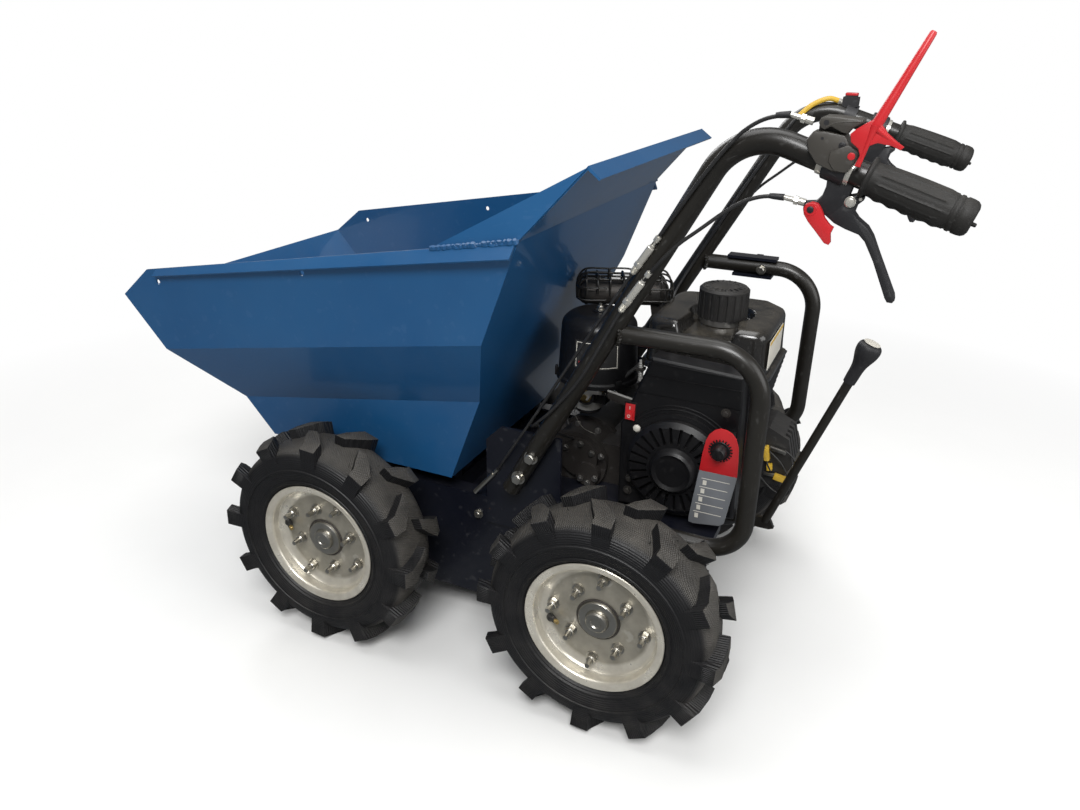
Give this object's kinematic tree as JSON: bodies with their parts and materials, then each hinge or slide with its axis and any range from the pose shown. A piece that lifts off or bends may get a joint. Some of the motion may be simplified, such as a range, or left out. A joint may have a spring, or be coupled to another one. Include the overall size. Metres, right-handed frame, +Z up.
{
  "type": "four-wheel walk-behind site dumper",
  "caption": "Walk-behind powered barrow with a forward-tipping sheet-steel skip, open petrol engine, handlebars and lugged wheels.",
  "frame": {"origin": "on the ground, under the middle of the overall box", "axes": "+X forward towards the tipping lip, +Y to the recoil-starter side, +Z up"},
  "size_m": [1.3766, 0.77, 1.0486],
  "materials": {
    "black_frame": "satin black paint",
    "blue_skip": "gloss mid-blue paint",
    "tyre_rubber": "matt black rubber, finely ribbed tread",
    "rim_metal": "polished steel",
    "grip_rubber": "black rubber",
    "cast_black": "black painted casting",
    "cast_brown": "dark brown casting",
    "black_plastic": "moulded black plastic",
    "zinc": "zinc-plated",
    "control_red": "red plastic",
    "cable_black": "black sheath"
  },
  "bodies": {
    "frame": {"drive_case": "black_frame", "axle_tubes": "black_frame", "drive_unit": "cast_brown", "deck_plate": "black_frame", "frame_rails": "black_frame", "cross_beams": "black_frame", "pivot_shaft": "zinc", "handle_brackets": "black_frame", "handlebar_left": "black_frame", "handlebar_right": "black_frame", "grips": "grip_rubber", "hoop_left": "black_frame", "hoop_right": "black_frame", "hoop_feet": "black_frame", "hoop_clamp": "black_frame", "engine_plate": "black_frame", "engine_block": "cast_black", "blower_housing": "black_plastic", "tank_support": "black_plastic", "recoil_cover": "black_plastic", "fuel_tank": "black_plastic", "fuel_cap": "black_plastic", "air_cleaner": "black_plastic", "carburettor": "cast_black", "muffler": "black_frame", "muffler_guard": "black_frame", "gearbox": "cast_black", "belt_guard": "black_frame", "throttle_panel": "black_plastic", "stop_rocker": "control_red", "regulator_box": "cast_black", "gear_lever": "black_frame", "gear_knob": "black_plastic", "lever_left": "black_plastic", "lever_right": "black_plastic", "parking_catch": "control_red", "tip_control": "black_plastic", "tip_lever": "control_red", "kill_switch": "black_plastic", "skip_latch": "zinc", "cable_tip": "cable_black", "cable_clutch": "cable_black", "cable_brake": "cable_black", "cable_switch": "cable_black"},
    "skip": {"skip_pan": "blue_skip", "skip_side_left": "blue_skip", "skip_side_right": "blue_skip", "spill_guard": "blue_skip", "wings": "blue_skip", "bearers": "black_frame"},
    "road_wheel_front_left": {"tyre_front_left": "tyre_rubber", "wheel_front_left": "rim_metal"},
    "road_wheel_front_right": {"tyre_front_right": "tyre_rubber", "wheel_front_right": "rim_metal"},
    "road_wheel_rear_left": {"tyre_rear_left": "tyre_rubber", "wheel_rear_left": "rim_metal"},
    "road_wheel_rear_right": {"tyre_rear_right": "tyre_rubber", "wheel_rear_right": "rim_metal"}
  },
  "joints": [
    {"name": "skip_tip", "type": "hinge", "parent": "frame", "child": "skip", "pos_m": [0.38285, 0, 0.26197], "axis": [0, 1, 0], "range_deg": [0, 60]},
    {"name": "roll_front_left", "type": "hinge", "parent": "frame", "child": "road_wheel_front_left", "pos_m": [0.24685, 0.327, 0.20497], "axis": [0, 1, 0], "continuous": true},
    {"name": "roll_front_right", "type": "hinge", "parent": "frame", "child": "road_wheel_front_right", "pos_m": [0.24685, -0.327, 0.20497], "axis": [0, 1, 0], "continuous": true},
    {"name": "roll_rear_left", "type": "hinge", "parent": "frame", "child": "road_wheel_rear_left", "pos_m": [-0.28115, 0.327, 0.20497], "axis": [0, 1, 0], "continuous": true},
    {"name": "roll_rear_right", "type": "hinge", "parent": "frame", "child": "road_wheel_rear_right", "pos_m": [-0.28115, -0.327, 0.20497], "axis": [0, 1, 0], "continuous": true}
  ]
}
